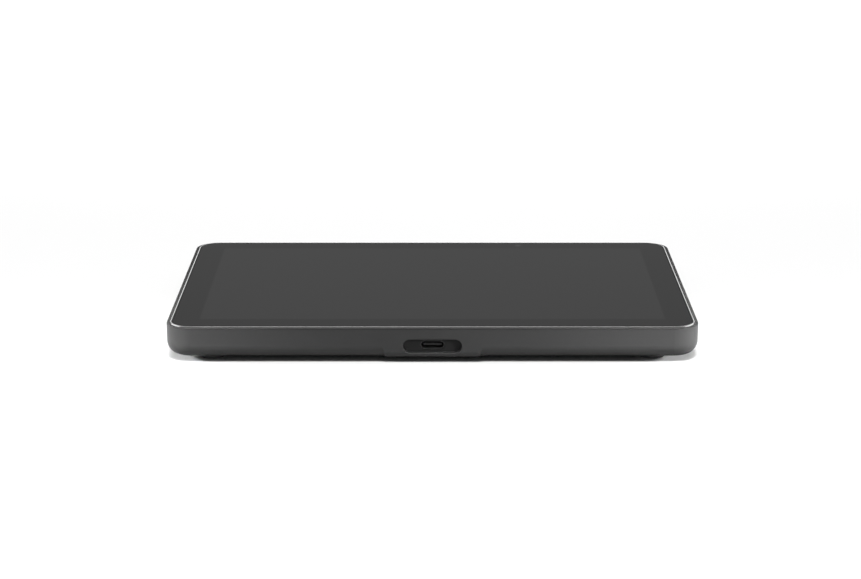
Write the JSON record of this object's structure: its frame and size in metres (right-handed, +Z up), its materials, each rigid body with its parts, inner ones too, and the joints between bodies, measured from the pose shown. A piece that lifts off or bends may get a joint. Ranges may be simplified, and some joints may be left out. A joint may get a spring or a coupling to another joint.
{
  "type": "smart home display",
  "caption": "Flat rectangular touch display lying on rubber feet, with a polished ring round the glass, a charging port in the front edge and push buttons in the back edge.",
  "frame": {"origin": "on the table, under the middle of the body's outline", "axes": "+X to the right along the long edge, +Y from the port edge to the button edge, +Z up out of the glass"},
  "size_m": [0.196, 0.131, 0.0136],
  "materials": {
    "housing": "satin, fine texture",
    "trim": "polished bevel",
    "cover_glass": "gloss, black print on the back",
    "port_plastic": "fine matte",
    "keys": "satin",
    "rubber": "matte",
    "steel": "plated",
    "black_steel": "black nickel",
    "brass": "knurled",
    "connector_core": "matte",
    "adhesive": "foam tape",
    "touch_film": "clear film",
    "lcd_glass": "polariser",
    "optical_film": "pearl",
    "acrylic": "clear",
    "reflector": "white",
    "tray_steel": "rolled",
    "led_strip": "matte",
    "foam": "foam",
    "chassis": "die cast",
    "circuit_board": "solder mask",
    "chip": "moulded",
    "shield": "tinned",
    "thermal_pad": "matte",
    "graphite": "graphite sheet",
    "component": "matte",
    "socket": "matte",
    "flat_cable": "polyimide",
    "speaker_box": "matte",
    "speaker_cone": "matte",
    "mesh": "woven",
    "wire": "satin",
    "switch": "matte",
    "microphone": "gold flash",
    "light_pipe": "clear",
    "antenna": "polyimide",
    "coax": "satin"
  },
  "bodies": {
    "base": {"rear_housing": "housing", "trim_ring": "trim", "cover_glass": "cover_glass", "foot_front_left": "rubber", "foot_front_right": "rubber", "foot_rear_left": "rubber", "foot_rear_right": "rubber", "mount_inserts": "brass", "port_bezel": "port_plastic", "usb_c_shell": "black_steel", "usb_c_tongue": "connector_core", "usb_board": "circuit_board", "glass_adhesive": "adhesive", "touch_sensor": "touch_film", "lcd_panel": "lcd_glass", "diffuser_films": "optical_film", "light_guide": "acrylic", "reflector_film": "reflector", "backlight_tray": "tray_steel", "backlight_led_strip": "led_strip", "display_foam_pads": "foam", "chassis": "chassis", "housing_screws": "steel", "self_tapping_screws": "steel", "main_board": "circuit_board", "soc_chip": "chip", "memory_chips": "chip", "shield_can": "shield", "soc_thermal_pad": "thermal_pad", "shield_thermal_pad": "thermal_pad", "heat_spreader": "graphite", "wifi_module": "shield", "mesh_radio_module": "shield", "power_components": "component", "ffc_connectors": "socket", "lcd_flex": "flat_cable", "touch_flex": "flat_cable", "usb_flex": "flat_cable", "button_flex": "flat_cable", "sensor_board": "circuit_board", "light_pipe": "light_pipe", "sensor_flex": "flat_cable", "speaker_left_enclosure": "speaker_box", "speaker_right_enclosure": "speaker_box", "speaker_left_driver": "speaker_cone", "speaker_right_driver": "speaker_cone", "speaker_meshes": "mesh", "speaker_wires": "wire", "button_board": "circuit_board", "tact_switches": "switch", "microphones": "microphone", "mic_boots": "rubber", "antennas": "antenna", "antenna_cables": "coax"},
    "mute_key": {"mute_button": "keys", "mute_plunger": "switch"},
    "volume_down_key": {"volume_down_button": "keys", "volume_down_plunger": "switch"},
    "volume_up_key": {"volume_up_button": "keys", "volume_up_plunger": "switch"}
  },
  "joints": [
    {"name": "mute_press", "type": "slide", "parent": "base", "child": "mute_key", "axis": [0, -1, 0], "range_m": [0, 0.0004], "stiffness_N_per_m": 2000, "springref_m": -0.0003},
    {"name": "volume_down_press", "type": "slide", "parent": "base", "child": "volume_down_key", "axis": [0, -1, 0], "range_m": [0, 0.0004], "stiffness_N_per_m": 2000, "springref_m": -0.0003},
    {"name": "volume_up_press", "type": "slide", "parent": "base", "child": "volume_up_key", "axis": [0, -1, 0], "range_m": [0, 0.0004], "stiffness_N_per_m": 2000, "springref_m": -0.0003}
  ]
}
